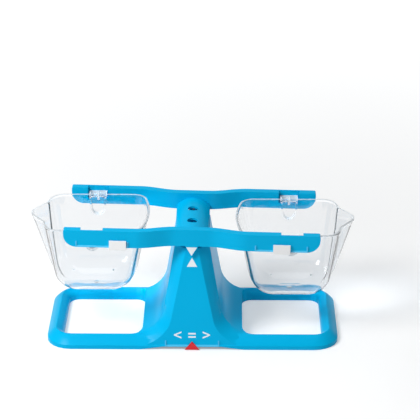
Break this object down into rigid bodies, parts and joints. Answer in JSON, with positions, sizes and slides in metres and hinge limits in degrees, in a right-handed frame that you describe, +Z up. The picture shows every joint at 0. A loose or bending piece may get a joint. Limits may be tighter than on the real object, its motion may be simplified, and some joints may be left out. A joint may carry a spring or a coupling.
{
  "type": "bucket balance scale",
  "caption": "Classroom balance: a hollow stand with a pillar, a tilting beam with bowed rails, clear pouring buckets hung from hooks, sliding compensators and a marker.",
  "frame": {"origin": "on the table, under the middle of the stand", "axes": "+Z up, +X to the right along the beam as seen from the pointer's side, -Y towards the pointer's side"},
  "size_m": [0.3602, 0.144, 0.1413],
  "materials": {
    "blue_plastic": "moulded, semi-gloss blue",
    "clear_plastic": "clear, glossy",
    "white_plastic": "moulded, satin white",
    "red_plastic": "moulded, satin red",
    "pin_steel": "plain turned"
  },
  "bodies": {
    "stand": {"stand": "blue_plastic"},
    "beam": {"beam": "blue_plastic", "pivot_pin_front": "pin_steel", "pivot_pin_rear": "pin_steel"},
    "bucket_left": {"bucket_left": "clear_plastic"},
    "bucket_right": {"bucket_right": "clear_plastic"},
    "compensator_left": {"compensator_left": "white_plastic"},
    "compensator_right": {"compensator_right": "white_plastic"},
    "marker": {"marker": "red_plastic"}
  },
  "joints": [
    {"name": "beam_tilt", "type": "hinge", "parent": "stand", "child": "beam", "pos_m": [0, 0, 0.1284], "axis": [0, 1, 0], "range_deg": [-13.36, 10.64]},
    {"name": "bucket_left_swing", "type": "hinge", "parent": "beam", "child": "bucket_left", "pos_m": [-0.10906, 0, 0.12709], "axis": [0, 1, 0], "range_deg": [-12.6, 15.3]},
    {"name": "bucket_right_swing", "type": "hinge", "parent": "beam", "child": "bucket_right", "pos_m": [0.10888, 0, 0.12191], "axis": [0, 1, 0], "range_deg": [-12.6, 15.3]},
    {"name": "compensator_left_slide", "type": "slide", "parent": "beam", "child": "compensator_left", "axis": [0.9997, 0, -0.0237], "range_m": [-0.0347, 0.0007]},
    {"name": "compensator_right_slide", "type": "slide", "parent": "beam", "child": "compensator_right", "axis": [0.9997, 0, -0.0237], "range_m": [-0.018, 0.0173]},
    {"name": "marker_slide", "type": "slide", "parent": "stand", "child": "marker", "axis": [1, 0, 0], "range_m": [-0.021, 0.021]}
  ]
}
